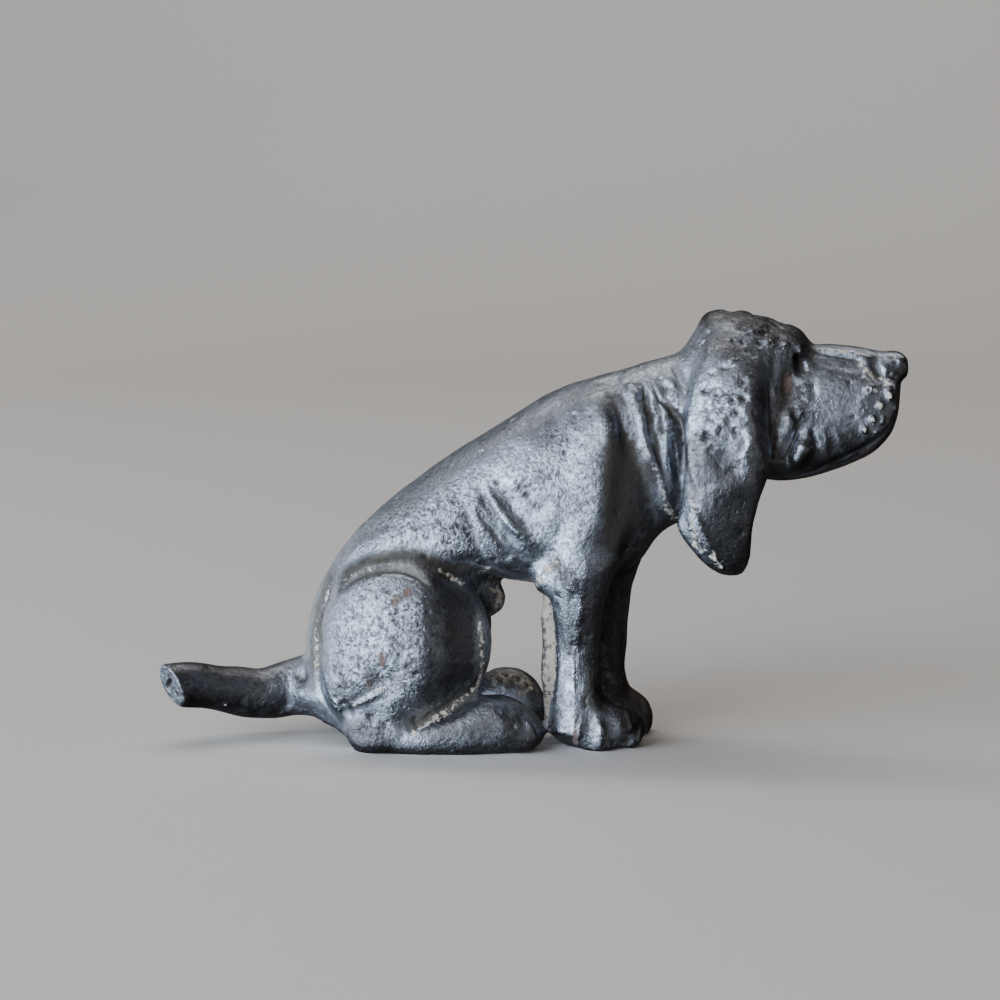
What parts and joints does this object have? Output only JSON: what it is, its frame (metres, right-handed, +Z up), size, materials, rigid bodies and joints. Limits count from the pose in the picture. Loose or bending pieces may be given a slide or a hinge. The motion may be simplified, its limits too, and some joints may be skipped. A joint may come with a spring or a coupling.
{
  "type": "dog figurine",
  "caption": "Small cast metal hound sitting on its haunches, head stretched forward, long hanging ears, tail broken short.",
  "frame": {"origin": "centre of the bounding box in plan, on the table that the soles stand on", "axes": "+X from the tail to the nose, +Y to the dog's left, +Z up"},
  "size_m": [0.08, 0.0246, 0.0467],
  "materials": {
    "pewter": "old cast pewter, dull blue-grey, darkened in the creases, worn bright on the high spots"
  },
  "bodies": {
    "root": {"hound": "pewter"}
  },
  "joints": []
}
